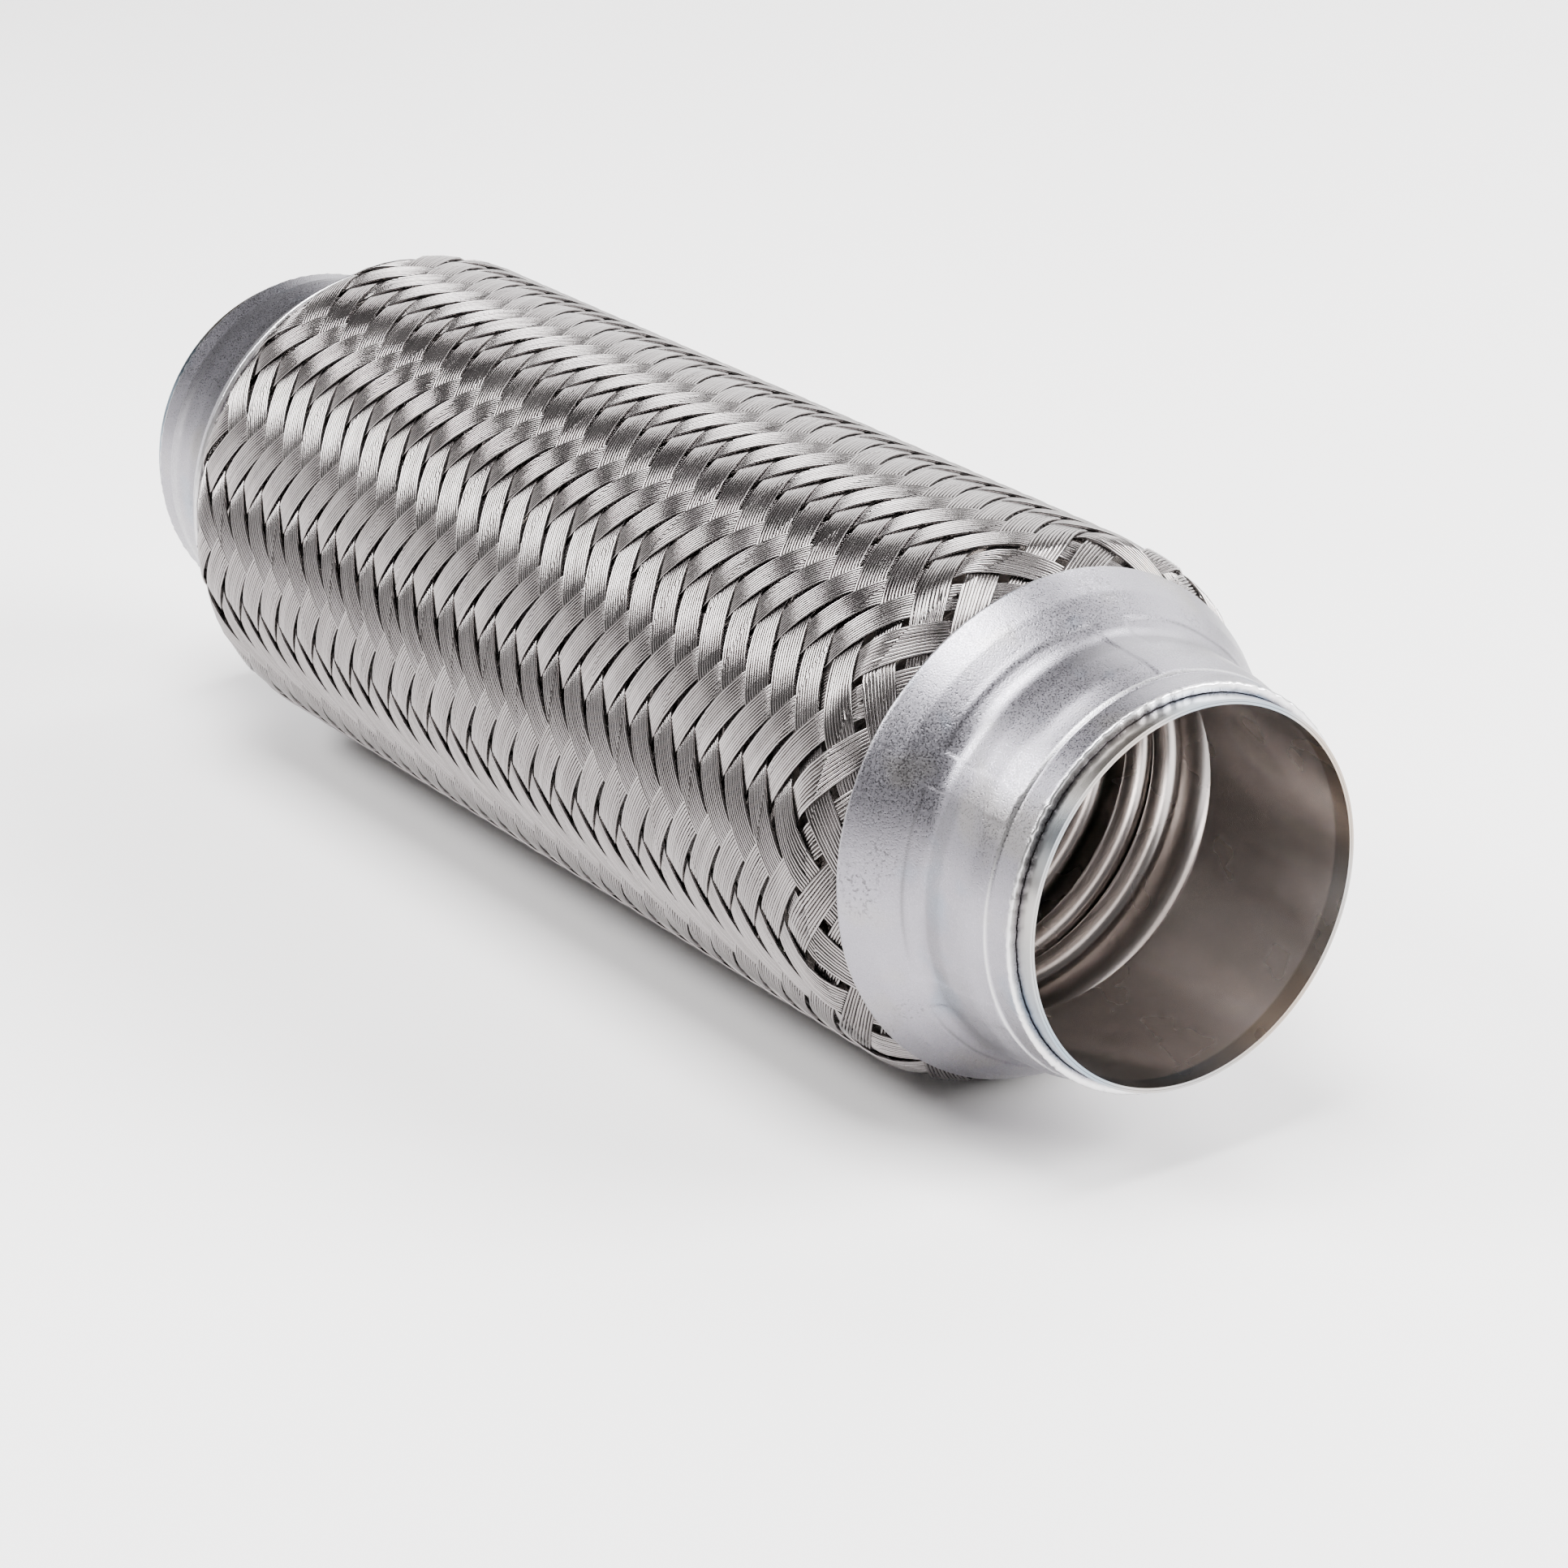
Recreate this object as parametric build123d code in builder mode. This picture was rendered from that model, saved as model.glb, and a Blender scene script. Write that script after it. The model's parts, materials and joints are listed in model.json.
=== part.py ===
from build123d import *
import os

# Braided metal bellows expansion joint for a 45 mm exhaust pipe, 200 mm long.
# A two-ply corrugated tube runs from end to end. A woven wire sleeve lies over its crests,
# and a pressed sheet cap at each end covers and clamps the ends of both.
# X is the pipe's axis and Z is up. The origin is on the axis, half way along.
# Every piece is a body of revolution about X.

# ---- driving dimensions, mm ----
length = 200.0  # over both pipe cuffs
bore_r = 22.5  # inside the cuffs and the roots of the bellows

# bellows: distances are to the bore-side surface of the inner ply
ply = 0.28  # sheet thickness of one ply
ply_gap = 0.04  # between the plies
crest_r = 31.6  # bore side of the crests
root_arc = 2.1  # radius of the rounded roots
cuff_arc = 1.0  # radius where the cuff turns up into the first convolution
cuff_end = 75.7  # x of that turn
end_crest_r = 28.9  # the first convolution is lower, to fit inside the cap
regular_count = 14  # equal convolutions in the middle
regular_end = 52.7  # x of the last root of the equal convolutions
near_roots = (60.4, 65.5)  # x of the two roots between those and the cuff

# wire braid, as a plain sleeve of its true outer size
braid_outer_r = 33.5
braid_inner_r = 32.5
braid_end = 92.4  # x where the wires stop, under the collar
braid_turn_arc = 5.0  # where the sleeve turns in towards the cap
braid_lip_arc = 10.0  # where it passes under the cap's lip
braid_foot_arc = 5.0  # where it flattens onto the cuff

# end cap, pressed from sheet: a bell, a collar, and a narrow crimped band at its rim
cap_sheet = 1.0
cap_lip = (74.5, 30.2)  # x and inside radius of the bell's cut edge
cap_shoulder = (78.1, 28.3)
cap_foot = (83.0, 24.9)
cap_step = (93.1, 23.8)
cap_band = (93.7, 23.3)
cap_rim_x = 97.6
cap_edge_round = 0.3
cap_inside_arcs = [3.5, 5.0, 0.4, 1.3]  # at the shoulder, the foot, the step and the band
cap_outside_arcs = [4.5, 4.0, 1.4, 0.3]


def convolution(depth, left, left_arc, right, right_arc, crest):
    """One wave between two roots, on the surface that lies depth outside the bore side."""
    left_x = left + left_arc - depth
    right_x = right - right_arc + depth
    half_gap = (right_x - left_x) / 2
    crest_centre_r = crest + depth - half_gap
    Line((left_x, bore_r + left_arc), (left_x, crest_centre_r))
    CenterArc(((left_x + right_x) / 2, crest_centre_r), half_gap, 180, -180)
    Line((right_x, crest_centre_r), (right_x, bore_r + right_arc))


def root_half(depth, x, arc, rising):
    """Half of a rounded root at x: the side that rises towards the front, or the other."""
    if rising:
        CenterArc((x, bore_r + arc), arc - depth, -90, 90)
    else:
        CenterArc((x, bore_r + arc), arc - depth, 180, 90)


def wave_surface(depth, roots):
    """A run of equal-height convolutions from the first root to the last."""
    for left, right in zip(roots[:-1], roots[1:]):
        root_half(depth, left, root_arc, True)
        convolution(depth, left, root_arc, right, root_arc, crest_r)
        root_half(depth, right, root_arc, False)


def cuff_surface(depth):
    """The low first convolution and the plain cuff, at the front end."""
    root_half(depth, near_roots[1], root_arc, True)
    convolution(depth, near_roots[1], root_arc, cuff_end, cuff_arc, end_crest_r)
    root_half(depth, cuff_end, cuff_arc, False)
    Line((cuff_end, bore_r + depth), (length / 2, bore_r + depth))


def ply_section(label, depth, roots):
    """One ply of the bellows between two cuts, which are at the bottom of its roots."""
    with BuildPart() as section:
        with BuildSketch():
            with BuildLine():
                wave_surface(depth, roots)
                wave_surface(depth + ply, roots)
                for x in (roots[0], roots[-1]):
                    Line((x, bore_r + depth), (x, bore_r + depth + ply))
            make_face()
        revolve(axis=Axis.X)
    section.part.label = label
    return section.part


def ply_end(label, depth):
    """One ply of the front cuff and the convolution beside it."""
    with BuildPart() as end:
        with BuildSketch():
            with BuildLine():
                cuff_surface(depth)
                cuff_surface(depth + ply)
                for x in (near_roots[1], length / 2):
                    Line((x, bore_r + depth), (x, bore_r + depth + ply))
            make_face()
        revolve(axis=Axis.X)
    end.part.label = label
    return end.part


def braid_section(label, start, stop):
    """The braid over one section of the bellows."""
    with BuildPart() as sleeve:
        with BuildSketch(Plane.YZ.offset(start)):
            Circle(braid_outer_r)
            Circle(braid_inner_r, mode=Mode.SUBTRACT)
        extrude(amount=stop - start)
    sleeve.part.label = label
    return sleeve.part


def braid_end_sleeve(label):
    """The front end of the braid, which turns in under the cap and lies on the cuff."""
    start = near_roots[1]
    arcs = [braid_turn_arc, braid_lip_arc, braid_foot_arc]
    outside = [(start, braid_outer_r), (70.5, braid_outer_r), (76.3, 28.47)]
    outside += [(83.3, 24.15), (braid_end, 23.74)]
    inside = [(start, braid_inner_r), (70.1, braid_inner_r), (75.6, 27.7)]
    inside += [(82.7, 23.3), (braid_end, 23.14)]
    with BuildPart() as sleeve:
        with BuildSketch():
            with BuildLine():
                FilletPolyline(outside, radius=arcs)
                FilletPolyline(inside, radius=arcs)
                Line(outside[0], inside[0])
                Line(outside[-1], inside[-1])
            make_face()
        revolve(axis=Axis.X)
    sleeve.part.label = label
    return sleeve.part


def thickened(points, thickness):
    """The corners of a line drawn at that distance to the left of another one."""
    line = [Vector(*point) for point in points]
    directions = [(b - a).normalized() for a, b in zip(line[:-1], line[1:])]
    across = [Vector(-d.Y, d.X) for d in directions]
    corners = [line[0] + across[0] * thickness]
    for point, before, after in zip(line[1:-1], across[:-1], across[1:]):
        corners.append(point + (before + after) * (thickness / (1 + before.dot(after))))
    corners.append(line[-1] + across[-1] * thickness)
    return corners


def end_cap(label):
    """The front cap: its inside outline, thickened outwards, with its two cut edges rounded."""
    inside = [cap_lip, cap_shoulder, cap_foot, cap_step, cap_band, (cap_rim_x, cap_band[1])]
    outside = thickened(inside, cap_sheet)
    with BuildPart() as cap:
        with BuildSketch() as sheet:
            with BuildLine():
                FilletPolyline(inside, radius=cap_inside_arcs)
                FilletPolyline(outside, radius=cap_outside_arcs)
                Line(inside[0], outside[0])
                Line(inside[-1], outside[-1])
            make_face()
            ends = sheet.vertices().sort_by(Axis.X)
            fillet(ends[:2] + ends[-2:], cap_edge_round)
        revolve(axis=Axis.X)
    cap.part.label = label
    return cap.part


def mirrored(piece, label):
    """The same piece at the rear end."""
    with BuildPart() as rear:
        mirror(piece, about=Plane.YZ)
    rear.part.label = label
    return rear.part


# ---- where the sections meet, from the rear to the front ----
pitch = 2 * regular_end / regular_count
regular_roots = [-regular_end + pitch * i for i in range(regular_count + 1)]
rear_group = [-near_roots[1], -near_roots[0], -regular_end]
front_group = [regular_end, near_roots[0], near_roots[1]]
section_roots = [rear_group]
section_roots += [list(pair) for pair in zip(regular_roots[:-1], regular_roots[1:])]
section_roots += [front_group]

inner_ply_depth = 0.0
outer_ply_depth = ply + ply_gap

pieces = []
for number, roots in enumerate(section_roots, start=1):
    pieces.append(ply_section(f"bellows_inner_ply_{number:02d}", inner_ply_depth, roots))
    pieces.append(ply_section(f"bellows_outer_ply_{number:02d}", outer_ply_depth, roots))
    pieces.append(braid_section(f"braid_sleeve_{number:02d}", roots[0], roots[-1]))

front_pieces = [
    ply_end("cuff_inner_ply_front", inner_ply_depth),
    ply_end("cuff_outer_ply_front", outer_ply_depth),
    braid_end_sleeve("braid_end_front"),
    end_cap("end_cap_front"),
]
for piece in front_pieces:
    pieces.append(piece)
    pieces.append(mirrored(piece, piece.label.replace("front", "rear")))

os.makedirs("parts", exist_ok=True)
for piece in pieces:
    export_step(piece, f"parts/{piece.label}.step")
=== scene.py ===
import json
import math

import bpy
import numpy as np
from mathutils import Matrix, Vector

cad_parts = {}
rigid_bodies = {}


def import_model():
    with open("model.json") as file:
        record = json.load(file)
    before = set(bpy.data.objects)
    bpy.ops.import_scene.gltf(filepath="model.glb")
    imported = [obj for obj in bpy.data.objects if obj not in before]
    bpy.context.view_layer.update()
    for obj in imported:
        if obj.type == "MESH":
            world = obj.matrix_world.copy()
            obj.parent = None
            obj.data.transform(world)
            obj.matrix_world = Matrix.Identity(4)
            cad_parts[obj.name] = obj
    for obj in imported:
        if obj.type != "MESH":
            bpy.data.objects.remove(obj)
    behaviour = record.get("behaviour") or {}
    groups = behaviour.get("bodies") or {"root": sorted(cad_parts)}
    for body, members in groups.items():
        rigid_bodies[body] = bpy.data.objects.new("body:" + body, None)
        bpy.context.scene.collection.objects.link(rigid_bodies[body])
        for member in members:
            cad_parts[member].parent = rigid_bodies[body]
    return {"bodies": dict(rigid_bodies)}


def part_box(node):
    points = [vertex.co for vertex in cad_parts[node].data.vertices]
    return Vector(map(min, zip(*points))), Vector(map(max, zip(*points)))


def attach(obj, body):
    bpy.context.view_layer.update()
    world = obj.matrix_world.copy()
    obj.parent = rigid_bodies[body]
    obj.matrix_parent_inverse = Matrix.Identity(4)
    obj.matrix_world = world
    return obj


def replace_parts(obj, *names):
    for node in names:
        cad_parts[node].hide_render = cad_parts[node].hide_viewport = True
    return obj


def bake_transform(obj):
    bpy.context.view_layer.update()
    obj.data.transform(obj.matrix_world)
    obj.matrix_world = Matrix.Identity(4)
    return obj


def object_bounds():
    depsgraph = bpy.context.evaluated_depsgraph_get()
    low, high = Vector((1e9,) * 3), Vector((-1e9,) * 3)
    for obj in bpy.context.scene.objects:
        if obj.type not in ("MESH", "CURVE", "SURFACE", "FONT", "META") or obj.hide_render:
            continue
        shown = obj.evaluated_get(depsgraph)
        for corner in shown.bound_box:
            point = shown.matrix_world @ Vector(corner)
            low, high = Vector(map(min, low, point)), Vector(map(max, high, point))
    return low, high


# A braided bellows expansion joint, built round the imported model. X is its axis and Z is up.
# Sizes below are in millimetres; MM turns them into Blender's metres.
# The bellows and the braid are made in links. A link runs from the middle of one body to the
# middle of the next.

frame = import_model()
cad_low, cad_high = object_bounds()

MM = 0.001
FRONT, REAR = "front_end", "rear_end"


# ---------------------------------------------------------------- sizes from the frame

def node_span(node):
    """Lowest and highest x of a CAD node, and its largest radius, in mm."""
    low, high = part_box(node)
    return low.x / MM, high.x / MM, high.z / MM


sections = sorted(body for body in frame["bodies"] if body.startswith("section_"))
half_length = node_span("cuff_inner_ply_front")[1]
regular_start, regular_stop, _ = node_span("bellows_inner_ply_02")
pitch = regular_stop - regular_start
regular_end = -regular_start
near_root = node_span("cuff_inner_ply_front")[0]
braid_outer_r = node_span("braid_sleeve_08")[2]
braid_end_x = node_span("braid_end_front")[1]
cap_rim_x = node_span("end_cap_front")[1]

# ---------------------------------------------------------------- driving sizes, mm

BORE_R = 22.5
PLY = 0.28
PLY_GAP = 0.04
CREST_R = 31.6
END_CREST_R = 28.9
ROOT_ARC = 2.1
CUFF_ARC = 1.0
CUFF_TURN_X = 75.7
MIDDLE_ROOT_X = 60.4
LINK_SEGMENTS = 144  # faces round a link of the bellows
CUFF_SEGMENTS = 288  # and round a cuff

STRANDS = 24  # each way round
WIRES = 10  # side by side in one strand
WIRE_R = 0.18
WIRE_SIDES = 6
STRAND_PITCH = 4.858  # along the axis, between neighbouring strands
OPEN_PITCH = 6.0  # the same by the caps, where the strands spread
OPEN_FROM, OPEN_TO = 58.0, 77.0
WIRE_SPACING = 0.364  # between the middles of two wires in a strand
WEAVE_RISE = 0.42  # how far a wire swings out and in
STRAND_ANGLE = 360.0 / STRANDS
ROW_PHASE = 18.75  # degrees that turn the rows of floats round the tube
TWIST_PHASE = 3.6  # degrees that move the strands along it
FLOAT_STOPS = np.array([0, 0.12, 0.35, 0.65, 1.0, 1.35, 1.65, 1.88])  # points along a float, in crossings
FLOAT_ROUNDNESS = 0.7  # under 1, a float is flatter than a sine wave
FLATTER_LIP, FLATTER_FOOT = 0.17, 0.07  # how much less the wires swing under the lip and the collar
LIP_FROM, LIP_TO = 68.0, 76.0
BRAID_CLEARANCE = 0.03  # inside the CAD sleeve
BRAID_TURN_X = 70.3  # where the braid turns in towards the cap
BRAID_CONE = [(75.9, 28.0), (83.1, 23.75)]  # (x, r) under the lip and at the collar
BRAID_FOOT_R = 23.47
BRAID_ARCS = [4.0, 8.0, 5.0]
BRAID_STEP = 0.1
WIRE_END_GAP = 0.2
CUT_MARGIN = 0.16  # no ring of a wire stands nearer to a cut than this
CROSSING_MARGIN = 0.05  # nor this near to the wire's end, in crossings

# how far strands and wires stray sideways, as shares of the strands' spacing, and more by the caps
KNOTS = np.linspace(-100, 100, 49)  # each stray is drawn at these, with straight runs between them
STRAND_DRIFT, LOOSE_STRAND = 0.018, 0.8
WIRE_DRIFT, LOOSE_WIRE = 0.0016, 0.003
LIFT = 0.005  # and how far outwards, in mm
LOOSE_FROM, LOOSE_TO = 56, 72
BRAID_SEED = 45200

CAP_SHEET = 1.0
CAP_EDGE = 0.3  # radius of the worn cut edges
CRIMP_R = 23.16  # inside of the band where it is crimped onto the cuff
CAP_INSIDE = [(74.5, 30.2), (78.1, 28.3), (83.0, 24.8), (90.3, 24.3), (93.1, 23.75), (93.7, 23.3)]
CAP_OUTSIDE_ARCS = [4.5, 4.0, 12.0, 1.2, 0.3]
CAP_INSIDE_ARCS = [3.5, 5.0, 12.0, 0.4, 1.2]
DIE_ANGLE = 60.0  # six dies crimped the collar
DIE_GAP = 4.6  # degrees from the middle of the ridge between two dies to their edges
DIE_FRONT_X = 81.75  # where the dies' front edge creased the sheet
DIE_BLEND = 0.8  # degrees over which the sheet rises onto a ridge
DIE_PRESS_X = [DIE_FRONT_X - 0.1, DIE_FRONT_X + 0.15, 84.6, 87, 91, 92.3, 93.3, 93.7]
DIE_PRESS_DEPTH = [0, 0.12, 0.12, 0.05, 0.04, 0.09, 0.09, 0]
CREASE_DEPTH, CREASE_WIDTH = 0.05, 0.16
BELL_END = (80.6, 81.4)  # the bell's finish gives way to the collar's between these
FOOT_SHADE = (84.0, 84.6, 86.0, 87.2)  # where the painted shade at the dies' foot starts and ends
STEP_X, STEP_HIGHLIGHT_WIDTH = 93.75, 0.14  # a painted highlight on the face where the collar steps down to the band
NECK = (80.8, 81.6, 83, 84.5)  # where the neck between the bell and the collar starts and ends
# the worn spans set where the painted highlight on the cut edges fades, partly wear
FRAYED_LIP, WORN_LIP_HIGHLIGHT = (75.0, 76.2), (74.85, 75.15)  # both fade out between these
FRAYED_RIM, WORN_RIM_HIGHLIGHT = (0.5, 0.2), (0.35, 0.1)  # both fade in between these, back from the rim

# how far the cap's sheet strays from its shape, mm
BELL_WAVE, NECK_WAVE = 0.05, 0.03
LIP_WAVE, LIP_FRAY = 0.05, 0.02
RIM_FRAY, RIM_BURR = 0.07, 0.06

# base colours
WIRE_TONES = [(0.225, 0.209, 0.206), (0.268, 0.250, 0.247), (0.318, 0.298, 0.295)]
SHEET_DARK, SHEET_PALE = (0.24, 0.231, 0.258), (0.315, 0.304, 0.340)
SHEET_BLUE, SHEET_TAN = (0.20, 0.24, 0.295), (0.315, 0.298, 0.277)
# the crease colour is painted shade in the dies' crease and at their foot; the pale worn colour is a
# painted highlight on the cut edges, partly wear, and on the step face
SHEET_PIT, SHEET_CREASE_SHADE, SHEET_WORN_AND_HIGHLIGHT = (0.10, 0.095, 0.10), (0.09, 0.088, 0.09), (0.74, 0.73, 0.74)
TUBE_DARK, TUBE_PALE, TUBE_MARK = (0.51, 0.472, 0.452), (0.585, 0.545, 0.525), (0.10, 0.09, 0.085)
HEAT_TAN, HEAT_GREY, HEAT_BLUE = (0.34, 0.29, 0.245), (0.33, 0.32, 0.31), (0.20, 0.25, 0.30)
FLOOR_DARK, FLOOR_PALE = (0.90, 0.885, 0.882), (0.94, 0.925, 0.922)


# ---------------------------------------------------------------- outlines

def rounded(points, radii, step=0.2):
    """A polyline with its corners turned into arcs."""
    points = [Vector(p) for p in points]
    out = [points[0]]
    for before, corner, after, radius in zip(points[:-2], points[1:-1], points[2:], radii):
        to_before = (before - corner).normalized()
        to_after = (after - corner).normalized()
        half = to_before.angle(to_after) / 2
        centre = corner + (to_before + to_after).normalized() * (radius / math.sin(half))
        first = corner + to_before * (radius / math.tan(half)) - centre
        last = corner + to_after * (radius / math.tan(half)) - centre
        turn = first.angle_signed(last)
        steps = max(2, int(abs(turn) * radius / step))
        for i in range(steps + 1):
            angle = -turn * i / steps
            c, s = math.cos(angle), math.sin(angle)
            out.append(centre + Vector((first.x * c - first.y * s, first.x * s + first.y * c)))
    out.append(points[-1])
    return np.array([tuple(p) for p in out])


def half_wave(depth, root_x, root_arc, crest_x, crest_r, arc_steps=7):
    """The bellows' outline from the bottom of a root up to the top of the crest in front of it."""
    flank_x = root_x + root_arc - depth
    gap = crest_x - flank_x
    angles = np.linspace(0, math.pi / 2, arc_steps)
    arc = root_arc - depth
    root = np.stack([root_x + arc * np.sin(angles), BORE_R + root_arc - arc * np.cos(angles)], 1)
    centre_r = crest_r + depth - gap
    crest = np.stack([crest_x - gap * np.cos(angles), centre_r + gap * np.sin(angles)], 1)
    flank_steps = np.linspace(0, 1, 5)[1:-1]
    flank = root[-1] + flank_steps[:, None] * (crest[0] - root[-1])
    return np.concatenate([root, flank, crest])


def crest_between(left, right):
    """x of the crest between two roots, which are (x, arc radius)."""
    return (left[0] + left[1] + right[0] - right[1]) / 2


def thickened(points, thickness):
    """The corners of a line drawn at that distance to the left of another one."""
    line = [Vector(p) for p in points]
    directions = [(b - a).normalized() for a, b in zip(line[:-1], line[1:])]
    across = [Vector((-d.y, d.x)) for d in directions]
    corners = [line[0] + across[0] * thickness]
    for point, before, after in zip(line[1:-1], across[:-1], across[1:]):
        corners.append(point + (before + after) * (thickness / (1 + before.dot(after))))
    return corners + [line[-1] + across[-1] * thickness]


def filled(line, step):
    """The same line with more points wherever two are further apart than step."""
    runs = [line[:1]]
    for start, stop in zip(line[:-1], line[1:]):
        pieces = math.ceil(np.linalg.norm(stop - start) / step)
        runs.append(start + (stop - start) * np.arange(1, pieces + 1)[:, None] / pieces)
    return np.concatenate(runs)


def resampled(line, step):
    """The same line with points evenly spaced along it."""
    distance = np.concatenate([[0], np.cumsum(np.linalg.norm(np.diff(line, axis=0), axis=1))])
    even = np.linspace(0, distance[-1], max(2, int(distance[-1] / step)) + 1)
    return np.stack([np.interp(even, distance, line[:, 0]), np.interp(even, distance, line[:, 1])], 1)


# ---------------------------------------------------------------- meshes

def mesh_object(name, vertices, faces, material, smooth=True):
    """A mesh from an array of corner positions in mm and an array or list of faces."""
    mesh = bpy.data.meshes.new(name)
    mesh.from_pydata((np.asarray(vertices) * MM).tolist(), [], [list(f) for f in faces])
    mesh.polygons.foreach_set("use_smooth", [smooth] * len(mesh.polygons))
    mesh.materials.append(material)
    mesh.update()
    obj = bpy.data.objects.new(name, mesh)
    bpy.context.scene.collection.objects.link(obj)
    return obj


def mark_sharp_rings(obj, count, corners):
    """Keeps the edges that run round the tube at these outline points sharp."""
    mesh = obj.data
    ends = np.zeros(len(mesh.edges) * 2, int)
    mesh.edges.foreach_get("vertices", ends)
    places = ends.reshape(-1, 2) % count
    sharp = (places[:, 0] == places[:, 1]) & np.isin(places[:, 0], list(corners))
    flags = mesh.attributes.new("sharp_edge", "BOOLEAN", "EDGE")
    flags.data.foreach_set("value", sharp)


def ring_mesh(name, x, r, angles, material):
    """A closed outline swept round the axis. x and r hold one row of outline points per angle."""
    segments, count = x.shape
    theta = angles[:, None]
    vertices = np.stack([x, r * np.cos(theta), r * np.sin(theta)], -1).reshape(-1, 3)
    i = np.arange(segments)[:, None]
    k = np.arange(count)[None, :]
    a, b = i * count + k, i * count + (k + 1) % count
    c, d = ((i + 1) % segments) * count + (k + 1) % count, ((i + 1) % segments) * count + k
    area = np.sum(x[0] * np.roll(r[0], -1) - np.roll(x[0], -1) * r[0])
    order = (a, b, c, d) if area < 0 else (d, c, b, a)
    return mesh_object(name, vertices, np.stack(order, -1).reshape(-1, 4), material)


def lathe(name, outline, corners, segments, material):
    """A closed outline of (x, r) turned round the axis, with sharp edges at its corners."""
    angles = np.linspace(0, 2 * math.pi, segments, endpoint=False)
    x, r = (np.tile(outline[:, i], (segments, 1)) for i in (0, 1))
    obj = ring_mesh(name, x, r, angles, material)
    mark_sharp_rings(obj, len(outline), corners)
    return obj


def two_surfaces(outer, inner):
    """One closed outline from two lines that run the same way, with its four corners."""
    outline = np.concatenate([outer, inner[::-1]])
    return outline, (0, len(outer) - 1, len(outer), len(outline) - 1)


# ---------------------------------------------------------------- materials

def new_material(name):
    material = bpy.data.materials.new(name)
    material.use_nodes = True
    nodes = material.node_tree.nodes
    return material, nodes, material.node_tree.links, nodes["Principled BSDF"]


def add(nodes, kind, **values):
    """A shader node with some of its settings and input values."""
    node = nodes.new(kind)
    for key, value in values.items():
        if hasattr(node, key):
            setattr(node, key, value)
        else:
            node.inputs[key.replace("_", " ")].default_value = value
    return node


def noise(nodes, links, vector, scale, detail=2.0, stretch=(1, 1, 1)):
    mapping = add(nodes, "ShaderNodeMapping")
    mapping.inputs["Scale"].default_value = stretch
    links.new(vector, mapping.inputs["Vector"])
    texture = add(nodes, "ShaderNodeTexNoise", Scale=scale, Detail=detail)
    links.new(mapping.outputs["Vector"], texture.inputs["Vector"])
    return texture.outputs["Fac"]


def ramp(nodes, links, value, stops):
    node = add(nodes, "ShaderNodeValToRGB")
    elements = node.color_ramp.elements
    while len(elements) < len(stops):
        elements.new(0.5)
    for element, (place, color) in zip(elements, stops):
        element.position = place
        element.color = (*color, 1) if hasattr(color, "__len__") else (color, color, color, 1)
    links.new(value, node.inputs["Fac"])
    return node.outputs["Color"]


def attribute(nodes, name):
    return add(nodes, "ShaderNodeAttribute", attribute_name=name).outputs["Fac"]


def math_node(nodes, links, operation, first, second=0.0):
    """A math node whose inputs are sockets or numbers."""
    node = add(nodes, "ShaderNodeMath", operation=operation)
    for place, value in enumerate((first, second)):
        if hasattr(value, "node"):
            links.new(value, node.inputs[place])
        else:
            node.inputs[place].default_value = value
    return node.outputs[0]


def mixed(nodes, links, factor, first, second):
    """Two colours mixed by a factor. Each is a socket or three numbers."""
    node = add(nodes, "ShaderNodeMix", data_type="RGBA")
    links.new(factor, node.inputs[0])
    for place, value in ((6, first), (7, second)):
        if hasattr(value, "node"):
            links.new(value, node.inputs[place])
        else:
            node.inputs[place].default_value = (*value, 1)
    return node.outputs[2]


def wire_material():
    """Bright drawn stainless wire. Each wire has its own tone, kept in the mesh as wire_tone."""
    material, nodes, links, shader = new_material("braid_wire")
    shader.inputs["Metallic"].default_value = 1.0
    stops = list(zip((0.0, 0.5, 1.0), WIRE_TONES))
    links.new(ramp(nodes, links, attribute(nodes, "wire_tone"), stops), shader.inputs["Base Color"])
    place = add(nodes, "ShaderNodeTexCoord").outputs["Object"]
    blotch = noise(nodes, links, place, 90.0, 3.0)
    links.new(ramp(nodes, links, blotch, [(0.3, 0.16), (0.7, 0.26)]), shader.inputs["Roughness"])
    return material


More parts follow.
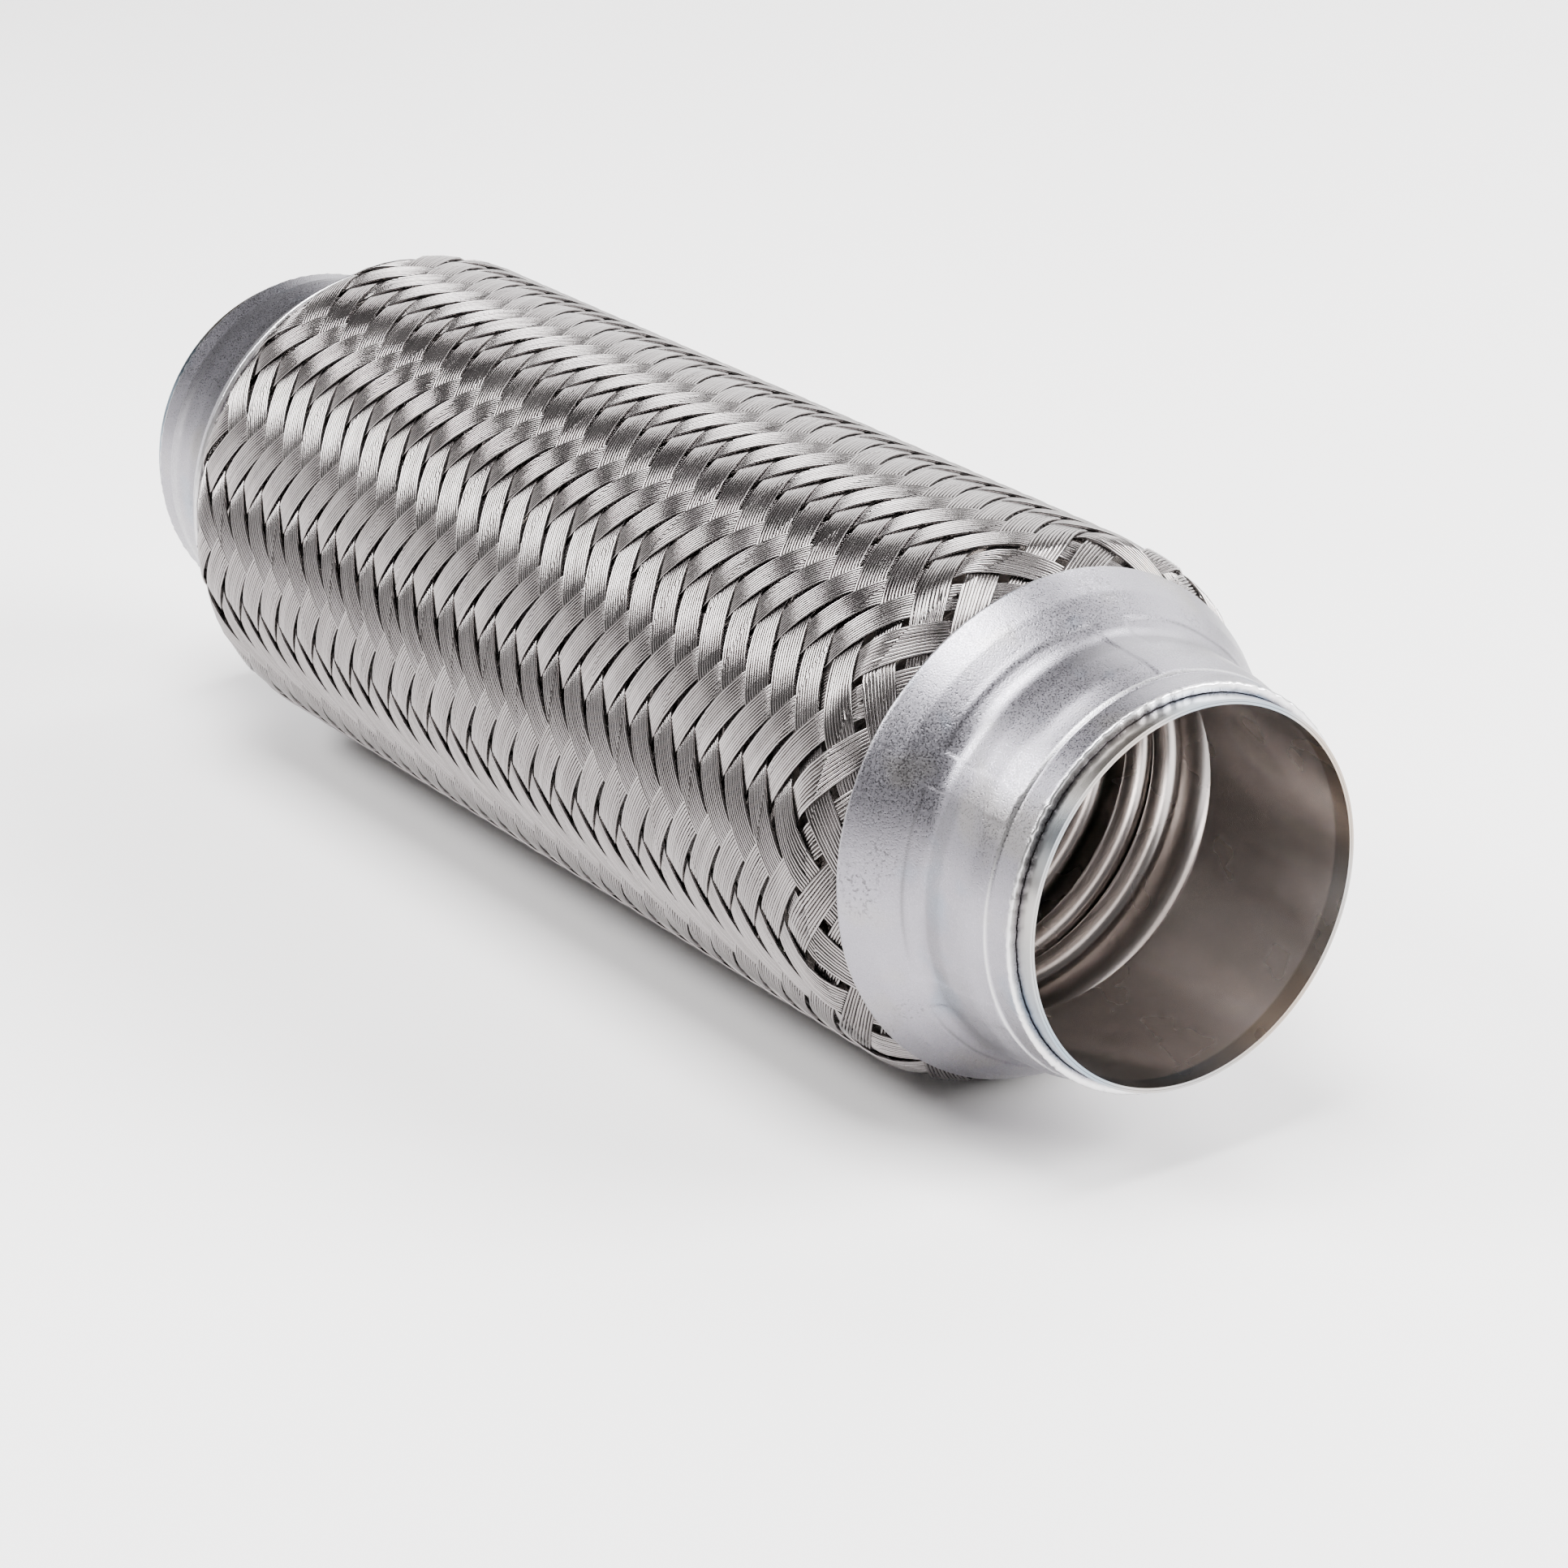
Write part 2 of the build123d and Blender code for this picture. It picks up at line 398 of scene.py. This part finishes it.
def cap_material():
    """Pressed aluminised sheet: a fine sparkling grain, cloudy tints, pits on the bell, painted shade in
    the dies' crease and foot, and a painted highlight on the worn cut edges and the step face.
    """
    material, nodes, links, shader = new_material("cap_steel")
    shader.inputs["Metallic"].default_value = 1.0
    place = add(nodes, "ShaderNodeTexCoord").outputs["Object"]
    cloud = noise(nodes, links, place, 60.0, 4.0)
    tint = noise(nodes, links, place, 110.0, 2.0)
    grain = noise(nodes, links, place, 5200.0, 3.0)
    coarse = noise(nodes, links, place, 2300.0, 2.0)
    # cloudy greys, with a bluish or a tan cast in places
    grey = ramp(nodes, links, cloud, [(0.3, SHEET_DARK), (0.7, SHEET_PALE)])
    blue = ramp(nodes, links, tint, [(0.62, 0.0), (0.72, 1.0)])
    tan = ramp(nodes, links, tint, [(0.30, 1.0), (0.42, 0.0)])
    color = mixed(nodes, links, math_node(nodes, links, "MULTIPLY", blue, 0.55), grey, SHEET_BLUE)
    color = mixed(nodes, links, math_node(nodes, links, "MULTIPLY", tan, 0.5), color, SHEET_TAN)
    # pits, in patches on the bell
    patch = ramp(nodes, links, noise(nodes, links, place, 75.0, 2.0), [(0.50, 0.0), (0.58, 1.0)])
    spots = ramp(nodes, links, coarse, [(0.36, 1.0), (0.44, 0.0)])
    pits = math_node(nodes, links, "MULTIPLY", patch, spots)
    pits = math_node(nodes, links, "MULTIPLY", pits, attribute(nodes, "bell"))
    color = mixed(nodes, links, math_node(nodes, links, "MULTIPLY", pits, 0.7), color, SHEET_PIT)
    # painted shade darkens the pressed foot and the dies' crease, and a painted highlight brightens the cut
    # edges, partly wear, and the step face
    crease_and_shade = math_node(nodes, links, "MULTIPLY", attribute(nodes, "crease_and_shade"), 0.6)
    color = mixed(nodes, links, crease_and_shade, color, SHEET_CREASE_SHADE)
    edge_highlight = attribute(nodes, "edge_highlight")
    links.new(mixed(nodes, links, edge_highlight, color, SHEET_WORN_AND_HIGHLIGHT), shader.inputs["Base Color"])
    rough = ramp(nodes, links, grain, [(0.35, 0.22), (0.65, 0.44)])
    links.new(mixed(nodes, links, edge_highlight, rough, (0.3, 0.3, 0.3)), shader.inputs["Roughness"])
    height = math_node(nodes, links, "SUBTRACT", grain, pits)
    bump = add(nodes, "ShaderNodeBump", Strength=0.5, Distance=0.00007)
    links.new(height, bump.inputs["Height"])
    links.new(bump.outputs["Normal"], shader.inputs["Normal"])
    return material


def bellows_material():
    """Thin rolled stainless sheet: satin and slightly browned, with short axial scratches, specks,
    and a blue and tan heat tint on the bare ends."""
    material, nodes, links, shader = new_material("bellows_steel")
    shader.inputs["Metallic"].default_value = 1.0
    place = add(nodes, "ShaderNodeTexCoord").outputs["Object"]
    axes = add(nodes, "ShaderNodeSeparateXYZ")
    links.new(place, axes.inputs[0])
    cloud = noise(nodes, links, place, 40.0, 3.0)
    color = ramp(nodes, links, cloud, [(0.3, TUBE_DARK), (0.7, TUBE_PALE)])
    # scratches run along the axis, so they are noise in the angle round it
    angle = math_node(nodes, links, "ARCTAN2", axes.outputs["Z"], axes.outputs["Y"])
    round_tube = add(nodes, "ShaderNodeCombineXYZ")
    links.new(angle, round_tube.inputs["X"])
    links.new(axes.outputs["X"], round_tube.inputs["Y"])
    lines = noise(nodes, links, round_tube.outputs[0], 90.0, 2.0)
    lines = ramp(nodes, links, lines, [(0.68, 0.0), (0.74, 1.0)])
    patch = ramp(nodes, links, noise(nodes, links, place, 70.0, 1.0), [(0.45, 0.0), (0.65, 1.0)])
    scratch = math_node(nodes, links, "MULTIPLY", lines, patch)
    specks = add(nodes, "ShaderNodeTexVoronoi", Scale=330.0)
    links.new(place, specks.inputs["Vector"])
    speck = ramp(nodes, links, specks.outputs["Distance"], [(0.025, 1.0), (0.045, 0.0)])
    marks = math_node(nodes, links, "MAXIMUM", scratch, speck)
    color = mixed(nodes, links, math_node(nodes, links, "MULTIPLY", marks, 0.25), color, TUBE_MARK)
    # the heat tint starts at the cap's rim
    from_middle = math_node(nodes, links, "ABSOLUTE", axes.outputs["X"])
    bare_from, bare_full = (cap_rim_x - 0.3) * MM, (cap_rim_x + 0.1) * MM
    slope = 1 / (bare_full - bare_from)
    past_rim = math_node(nodes, links, "SUBTRACT", from_middle, bare_from)
    bare = math_node(nodes, links, "MULTIPLY", past_rim, slope)
    bare = ramp(nodes, links, bare, [(0.0, 0.0), (1.0, 1.0)])
    heat = noise(nodes, links, place, 45.0, 1.0)
    heat = ramp(nodes, links, heat, [(0.34, HEAT_TAN), (0.48, HEAT_GREY), (0.62, HEAT_BLUE)])
    links.new(mixed(nodes, links, bare, color, heat), shader.inputs["Base Color"])
    satin = noise(nodes, links, place, 120.0, 2.0)
    links.new(ramp(nodes, links, satin, [(0.3, 0.22), (0.7, 0.29)]), shader.inputs["Roughness"])
    return material


def floor_material():
    """Matt off-white, very slightly cloudy."""
    material, nodes, links, shader = new_material("floor")
    place = add(nodes, "ShaderNodeTexCoord").outputs["Object"]
    cloud = noise(nodes, links, place, 5.0, 4.0)
    color = ramp(nodes, links, cloud, [(0.3, FLOOR_DARK), (0.7, FLOOR_PALE)])
    links.new(color, shader.inputs["Base Color"])
    shader.inputs["Roughness"].default_value = 0.6
    return material


# ---------------------------------------------------------------- bellows

roots = [(-CUFF_TURN_X, CUFF_ARC), (-near_root, ROOT_ARC), (-MIDDLE_ROOT_X, ROOT_ARC)]
roots += [(-regular_end + pitch * i, ROOT_ARC) for i in range(len(sections) - 1)]
roots += [(-x, arc) for x, arc in roots[2::-1]]
crests = [crest_between(left, right) for left, right in zip(roots[:-1], roots[1:])]
joint_x = [-near_root] + [x for x, arc in roots[3:-3]] + [near_root]
first_regular = 3  # the crest after this many others starts the equal convolutions
cuts = [crests[0], crests[1]] + crests[first_regular:-first_regular] + [crests[-2], crests[-1]]


def wave_line(depth, first, last):
    """The bellows' outline from one crest to a later one, by their numbers."""
    parts = []
    for i in range(first, last):
        x, arc = roots[i + 1]
        heights = [END_CREST_R if n in (0, len(crests) - 1) else CREST_R for n in (i, i + 1)]
        down = half_wave(depth, -x, arc, -crests[i], heights[0]) * (-1, 1)
        up = half_wave(depth, x, arc, crests[i + 1], heights[1])
        parts += [down[::-1], up[1:]]
        if i + 1 < last:
            parts[-1] = parts[-1][:-1]
    return np.concatenate(parts)


def bellows_link(ply_name, depth, number, material):
    """One ply from the middle of one body to the middle of the next."""
    first = crests.index(cuts[number])
    last = crests.index(cuts[number + 1])
    outline, corners = two_surfaces(wave_line(depth + PLY, first, last), wave_line(depth, first, last))
    name = f"bellows_{ply_name}_ply_link_{number + 1:02d}"
    link = lathe(name, outline, corners, LINK_SEGMENTS, material)
    bend_at_joint(link)
    return link


def cuff(ply_name, depth, end, sign, material):
    """The plain cuff and the half convolution beside it, from the first crest to the rim."""
    rise = half_wave(depth, -CUFF_TURN_X, CUFF_ARC, -crests[-1], END_CREST_R, 9) * (-1, 1)
    rise_out = half_wave(depth + PLY, -CUFF_TURN_X, CUFF_ARC, -crests[-1], END_CREST_R, 9) * (-1, 1)
    tube = np.linspace(CUFF_TURN_X, half_length, 14)[1:]
    inner = np.concatenate([rise[::-1], np.stack([tube, np.full(len(tube), BORE_R + depth)], 1)])
    outer = np.concatenate([rise_out[::-1], np.stack([tube, np.full(len(tube), BORE_R + depth + PLY)], 1)])
    outline, corners = two_surfaces(outer, inner)
    outline = outline * (sign, 1)
    piece = lathe(f"cuff_{ply_name}_ply_{end}_tube", outline, corners, CUFF_SEGMENTS, material)
    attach(piece, FRONT if end == "front" else REAR)
    return piece


def bend_at_joint(piece):
    """Bakes the link's transform into its mesh."""
    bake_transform(piece)


# ---------------------------------------------------------------- braid

def braid_line():
    """Half of the braid's middle surface, from the middle of the tube to the wires' end."""
    middle_r = braid_outer_r - WEAVE_RISE - WIRE_R - BRAID_CLEARANCE
    corners = [(0, middle_r), (BRAID_TURN_X, middle_r)]
    corners += BRAID_CONE + [(braid_end_x - WIRE_END_GAP, BRAID_FOOT_R)]
    return resampled(rounded(corners, BRAID_ARCS), BRAID_STEP)


def smooth_step(x, low, high):
    t = np.clip((x - low) / (high - low), 0, 1)
    return t * t * (3 - 2 * t)


half = braid_line()
braid_xr = np.concatenate([(half * (-1, 1))[::-1], half[1:]])
steps = np.linalg.norm(np.diff(braid_xr, axis=0), axis=1)
braid_s = np.concatenate([[0], np.cumsum(steps)])
braid_s -= braid_s[-1] / 2
opening = smooth_step(np.abs(braid_s), OPEN_FROM, OPEN_TO)
local_pitch = STRAND_PITCH + (OPEN_PITCH - STRAND_PITCH) * opening
braid_u = np.concatenate([[0], np.cumsum(steps / ((local_pitch[1:] + local_pitch[:-1]) / 2))])
braid_u -= np.interp(0, braid_s, braid_u)  # how many strands the axis has crossed
row_width = 2 * math.pi * braid_xr[:, 1] / STRANDS  # between two strands, round the tube
strand_spacing = row_width * local_pitch / np.hypot(row_width, local_pitch)  # and square to them
tangent = np.gradient(braid_xr, braid_s, axis=0)
tangent /= np.linalg.norm(tangent, axis=1)[:, None]
from_middle = np.abs(braid_xr[:, 0])
braid_rise = WEAVE_RISE - FLATTER_LIP * smooth_step(from_middle, LIP_FROM, LIP_TO)
braid_rise -= FLATTER_FOOT * smooth_step(from_middle, LIP_TO, braid_end_x)


def float_height(z):
    """Height of a wire, -1 to 1: up over two crossings and down under two, from z = 0."""
    phase = np.mod(z, 4)
    t = np.mod(phase, 2)
    t = np.minimum(t, 2 - t)
    height = np.sin(math.pi * t / 2) ** FLOAT_ROUNDNESS
    return np.where(phase < 2, height, -height)


def wire_stops(z_offset, cut_s):
    """Places along one wire, with every cut among them, and which of them are cuts."""
    first, last = 2 * braid_u[0] + z_offset, 2 * braid_u[-1] + z_offset
    floats = np.arange(math.floor(first / 2) - 1, math.ceil(last / 2) + 1) * 2
    z = (floats[:, None] + FLOAT_STOPS[None, :]).ravel()
    z = z[(z > first + CROSSING_MARGIN) & (z < last - CROSSING_MARGIN)]
    s = np.interp((z - z_offset) / 2, braid_u, braid_s)
    s = s[np.min(np.abs(s[:, None] - cut_s[None, :]), axis=1) > CUT_MARGIN]
    s = np.concatenate([[braid_s[0]], s, [braid_s[-1]], cut_s])
    is_cut = np.arange(len(s)) >= len(s) - len(cut_s)
    order = np.argsort(s)
    return s[order], is_cut[order]


def wire_offset(wire, s):
    """How far a wire lies from the middle of its strand, as a share of the strands' spacing."""
    return (wire - (WIRES - 1) / 2) * WIRE_SPACING / np.interp(s, braid_s, strand_spacing)


def wire_rings(family, strand, wire, s, drift, lift):
    """Rings of points round one wire's centre line, and the direction of the wire at each."""
    across = wire_offset(wire, s)
    u = np.interp(s, braid_s, braid_u)
    x, r = (np.interp(s, braid_s, braid_xr[:, i]) for i in (0, 1))
    tx, tr = (np.interp(s, braid_s, tangent[:, i]) for i in (0, 1))
    out = float_height(2 * (u + strand) + across + float_start(family))
    out = out * np.interp(s, braid_s, braid_rise) + lift
    turned = STRAND_ANGLE * (u + strand + across + drift) + TWIST_PHASE
    theta = np.radians(ROW_PHASE + family * turned)
    cos, sin = np.cos(theta), np.sin(theta)
    centre = np.stack([x - tr * out, (r + tx * out) * cos, (r + tx * out) * sin], 1)
    normal = np.stack([-tr, tx * cos, tx * sin], 1)
    along = np.gradient(centre, axis=0)
    along /= np.linalg.norm(along, axis=1)[:, None]
    side = np.cross(along, normal)
    side /= np.linalg.norm(side, axis=1)[:, None]
    up = np.cross(side, along)
    turn = 2 * math.pi * np.arange(WIRE_SIDES)[None, :, None] / WIRE_SIDES
    rings = centre[:, None] + WIRE_R * (np.cos(turn) * up[:, None] + np.sin(turn) * side[:, None])
    return rings, along


def float_start(family):
    """Sets the floats of the two families where they pass over and under each other."""
    return 2 * TWIST_PHASE / STRAND_ANGLE + (0.5 if family > 0 else -0.5)


def tube_faces(rings, base):
    """Faces of an open tube between its rings."""
    i = base + np.arange(rings - 1)[:, None] * WIRE_SIDES
    j = np.arange(WIRE_SIDES)[None, :]
    following = (j + 1) % WIRE_SIDES
    quads = np.stack([i + j, i + following, i + WIRE_SIDES + following, i + WIRE_SIDES + j], -1)
    return quads.reshape(-1, 4)


def build_braid(material):
    """Both families of wires, cut at the middle of every body."""
    rng = np.random.default_rng(BRAID_SEED)
    cut_x = np.array(cuts)
    cut_s = np.interp(cut_x, braid_xr[:, 0], braid_s)
    parts = [{"vertices": [], "faces": [], "tones": [], "count": 0} for _ in range(len(cuts) + 1)]
    for family in (1, -1):
        for strand in range(STRANDS):
            strand_drift = rng.normal(0, STRAND_DRIFT, len(KNOTS))
            for wire in range(WIRES):
                z_offset = 2 * strand + wire_offset(wire, 0) + float_start(family)
                s, is_cut = wire_stops(z_offset, cut_s)
                looseness = smooth_step(np.abs(s), LOOSE_FROM, LOOSE_TO)
                drift = np.interp(s, KNOTS, strand_drift) * (1 + LOOSE_STRAND * looseness)
                wire_drift = np.interp(s, KNOTS, rng.normal(0, 1, len(KNOTS)))
                drift += wire_drift * (WIRE_DRIFT + LOOSE_WIRE * looseness)
                lift = np.interp(s, KNOTS, rng.normal(0, LIFT, len(KNOTS)))
                rings, along = wire_rings(family, strand, wire, s, drift, lift)
                # a ring on a cut is slid along the wire into the cut's plane
                slide = np.zeros(rings.shape[:2])
                slide[is_cut] = (rings[is_cut, :, 0] - cut_x[:, None]) / along[is_cut, 0][:, None]
                rings = rings - slide[..., None] * along[:, None]
                tone = rng.random()
                stops = [0, *np.nonzero(is_cut)[0], len(s) - 1]
                for part, first, last in zip(parts, stops[:-1], stops[1:]):
                    piece = rings[first:last + 1]
                    part["faces"].append(tube_faces(len(piece), part["count"]))
                    part["vertices"].append(piece.reshape(-1, 3))
                    part["tones"].append(np.full(len(piece) * WIRE_SIDES, tone))
                    part["count"] += len(piece) * WIRE_SIDES
    names = ["rear"] + [f"link_{k:02d}" for k in range(1, len(cuts))] + ["front"]
    return [wire_object(f"braid_wires_{name}", part, material) for name, part in zip(names, parts)]


def wire_object(name, part, material):
    """One link's wires as a mesh that keeps each wire's own tone."""
    piece = mesh_object(name, np.concatenate(part["vertices"]), np.concatenate(part["faces"]), material)
    tone = piece.data.attributes.new("wire_tone", "FLOAT", "POINT")
    tone.data.foreach_set("value", np.concatenate(part["tones"]).astype(np.float32))
    return piece


# ---------------------------------------------------------------- caps

def cap_outline():
    """The cap's closed outline at the front end, and which of its points are on the outside."""
    inside = CAP_INSIDE + [(cap_rim_x, CAP_INSIDE[-1][1])]
    crimped = inside[:-2] + [(CAP_INSIDE[-1][0], CRIMP_R), (cap_rim_x, CRIMP_R)]
    outside = [tuple(p) for p in thickened(inside, CAP_SHEET)]
    start = tuple((np.array(inside[0]) + np.array(outside[0])) / 2)
    stop = tuple((np.array(inside[-1]) + np.array(outside[-1])) / 2)
    over = rounded([start] + outside + [stop], [CAP_EDGE] + CAP_OUTSIDE_ARCS + [CAP_EDGE], 0.12)
    under = rounded([start] + crimped + [stop], [CAP_EDGE] + CAP_INSIDE_ARCS + [CAP_EDGE / 3], 0.3)
    over, under = filled(over, 0.3), filled(under, 1.5)
    outline = np.concatenate([over, under[-2:0:-1]])
    return outline, np.arange(len(outline)) < len(over)


def cap_angles(phase):
    """Angles in degrees round the cap, closer together at the edges of the dies."""
    ridges = phase + DIE_ANGLE * np.arange(round(360 / DIE_ANGLE))
    edges = DIE_GAP + np.array([-0.9, -0.6, -0.3, 0.0, 0.3, 0.6, 0.9])  # across a ridge's side
    near_edges = (ridges[:, None] + np.concatenate([-edges, edges])[None, :]).ravel()
    spread = np.arange(0, 360, 1.2)
    gaps = np.abs((spread[:, None] - near_edges[None, :] + 180) % 360 - 180)
    return np.sort(np.concatenate([spread[gaps.min(1) > 0.4], near_edges]) % 360)


def wave(rng, angles, slowest, fastest):
    """A smooth random wave round the circle, about -1 to 1, made of whole numbers of waves."""
    turns = np.arange(slowest, fastest + 1)
    phases = rng.uniform(0, 2 * math.pi, len(turns))
    return np.sin(np.radians(angles)[:, None] * turns + phases).sum(1) / math.sqrt(len(turns))


def end_cap(end, sign, phase, seed, material):
    """A pressed cap: bell, collar and band, with the marks of the dies that crimped it and ragged edges."""
    rng = np.random.default_rng(seed)
    outline, is_outside = cap_outline()
    angles = cap_angles(phase)
    x, r = (np.tile(outline[:, i], (len(angles), 1)) for i in (0, 1))
    from_ridge = np.abs((angles - phase + DIE_ANGLE / 2) % DIE_ANGLE - DIE_ANGLE / 2)
    die = smooth_step(from_ridge, DIE_GAP - DIE_BLEND, DIE_GAP + DIE_BLEND)[:, None]
    # the dies press the collar deeper at its two ends, and crease the sheet in front of it
    depth = np.interp(x, DIE_PRESS_X, DIE_PRESS_DEPTH)
    crease_and_shade = np.exp(-((x - DIE_FRONT_X) / CREASE_WIDTH) ** 2) * die * is_outside
    bell = 1 - smooth_step(x, *BELL_END)
    neck = smooth_step(x, *NECK[:2]) * (1 - smooth_step(x, *NECK[2:]))
    lip = 1 - smooth_step(x, *FRAYED_LIP)
    rim = smooth_step(x, cap_rim_x - FRAYED_RIM[0], cap_rim_x - FRAYED_RIM[1])
    r -= (depth * die + CREASE_DEPTH * crease_and_shade) * is_outside
    # slow waves in the bell, faster ones in the neck, and ragged cut edges
    r += BELL_WAVE * wave(rng, angles, 2, 7)[:, None] * bell
    r += NECK_WAVE * wave(rng, angles, 9, 24)[:, None] * neck
    x += (LIP_WAVE * wave(rng, angles, 5, 20) + LIP_FRAY * wave(rng, angles, 60, 110))[:, None] * lip
    x += (RIM_FRAY * wave(rng, angles, 40, 140))[:, None] * rim
    r += (RIM_BURR * wave(rng, angles, 60, 160))[:, None] * rim * is_outside
    piece = ring_mesh(f"end_cap_{end}_shell", x * sign, r, np.radians(angles), material)
    # where a painted highlight brightens the cut edges, partly wear, and the step face, and where painted
    # shade darkens the crease and the foot
    step_highlight = np.exp(-((x - STEP_X) / STEP_HIGHLIGHT_WIDTH) ** 2)
    worn_rim_highlight = smooth_step(x, cap_rim_x - WORN_RIM_HIGHLIGHT[0], cap_rim_x - WORN_RIM_HIGHLIGHT[1])
    cut_edges = (1 - smooth_step(x, *WORN_LIP_HIGHLIGHT)) + worn_rim_highlight
    # painted highlight: the cut edges, partly wear, and the step face are made brighter
    edge_highlight = np.maximum(cut_edges * 0.9, step_highlight * 0.6) * is_outside
    foot_shade = 0.5 * smooth_step(x, *FOOT_SHADE[:2]) * (1 - smooth_step(x, *FOOT_SHADE[2:])) * (0.5 + 0.5 * die)
    # painted shade: the crease and the pressed foot are darkened where shade falls
    crease_and_shade = np.maximum(crease_and_shade * (0.6 + 0.4 * wave(rng, angles, 3, 9)[:, None]), foot_shade)
    for name, value in (("edge_highlight", edge_highlight), ("crease_and_shade", crease_and_shade), ("bell", bell)):
        values = piece.data.attributes.new(name, "FLOAT", "POINT")
        values.data.foreach_set("value", np.clip(value, 0, 1).astype(np.float32).ravel())
    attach(piece, FRONT if end == "front" else REAR)
    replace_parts(piece, f"end_cap_{end}")
    return piece


# ---------------------------------------------------------------- scene

wire_steel = wire_material()
cap_steel = cap_material()
bellows_steel = bellows_material()

ply_links = {}
for ply_name, depth in (("inner", 0.0), ("outer", PLY + PLY_GAP)):
    for number in range(len(joint_x)):
        ply_links[ply_name, number] = bellows_link(ply_name, depth, number, bellows_steel)
    for number in range(len(sections)):
        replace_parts(ply_links[ply_name, number], f"bellows_{ply_name}_ply_{number + 1:02d}")
    for end, sign in (("front", 1), ("rear", -1)):
        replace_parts(cuff(ply_name, depth, end, sign, bellows_steel), f"cuff_{ply_name}_ply_{end}")

wire_pieces = build_braid(wire_steel)
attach(wire_pieces[0], REAR)
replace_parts(wire_pieces[0], "braid_end_rear")
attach(wire_pieces[-1], FRONT)
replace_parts(wire_pieces[-1], "braid_end_front")
for number, piece in enumerate(wire_pieces[1:-1]):
    bend_at_joint(piece)
    if number < len(sections):
        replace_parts(piece, f"braid_sleeve_{number + 1:02d}")

end_cap("front", 1, 27.0, 4521, cap_steel)
end_cap("rear", -1, 8.0, 4522, cap_steel)


def add_floor():
    """A square floor under the object, 6 m wide."""
    reach = 3.0
    corners = [(-reach, -reach), (reach, -reach), (reach, reach), (-reach, reach)]
    mesh = bpy.data.meshes.new("floor")
    mesh.from_pydata([(x, y, cad_low.z) for x, y in corners], [], [(0, 1, 2, 3)])
    mesh.materials.append(floor_material())
    floor = bpy.data.objects.new("floor", mesh)
    bpy.context.scene.collection.objects.link(floor)


def add_panel(name, direction, distance, width, height, power, color=(1, 1, 1)):
    """A soft panel light in that direction from the object, facing it."""
    lamp = bpy.data.lights.new(name, "AREA")
    lamp.shape = "RECTANGLE"
    lamp.size, lamp.size_y = width, height
    lamp.energy = power
    lamp.color = color
    obj = bpy.data.objects.new(name, lamp)
    aim = Vector(direction).normalized()
    obj.location = aim * distance
    obj.rotation_mode = "QUATERNION"
    obj.rotation_quaternion = aim.to_track_quat("Z", "Y")
    bpy.context.scene.collection.objects.link(obj)


def add_world(color, strength):
    world = bpy.data.worlds.new("studio")
    world.use_nodes = True
    background = world.node_tree.nodes["Background"]
    background.inputs["Color"].default_value = (*color, 1)
    background.inputs["Strength"].default_value = strength
    bpy.context.scene.world = world


def add_camera():
    """The camera looks back and down at the front end from its -Y side, with a level horizon."""
    camera = bpy.data.cameras.new("camera")
    camera.lens = 107.5
    camera.sensor_width = 36.0
    obj = bpy.data.objects.new("camera", camera)
    obj.location = (0.46306, -0.30828, 0.20869)
    right, up = Vector((0.5714, 0.8206, 0.0)), Vector((-0.3122, 0.2174, 0.9248))
    back = right.cross(up).normalized()
    obj.rotation_mode = "QUATERNION"
    obj.rotation_quaternion = Matrix((right, up, back)).transposed().to_quaternion()
    bpy.context.scene.collection.objects.link(obj)
    bpy.context.scene.camera = obj


add_floor()
add_world((1.0, 0.985, 0.99), 0.14)
add_panel("key_panel", (0.62, 0.66, 0.45), 1.2, 0.6, 0.6, 42.0)
add_panel("back_panel", (-0.45, 0.80, 0.40), 1.1, 1.4, 0.7, 13.0)
add_panel("left_panel", (-0.344, -0.638, 0.689), 0.9, 0.35, 0.25, 10.0)
add_panel("low_left_panel", (-0.65, -0.757, 0.16), 1.1, 0.9, 0.25, 1.5)
add_panel("top_panel", (0.04, -0.18, 0.98), 1.0, 0.5, 0.5, 26.0)
add_panel("rear_top_panel", (-0.185, 0.618, 0.766), 1.0, 0.3, 0.3, 4.0)
add_camera()
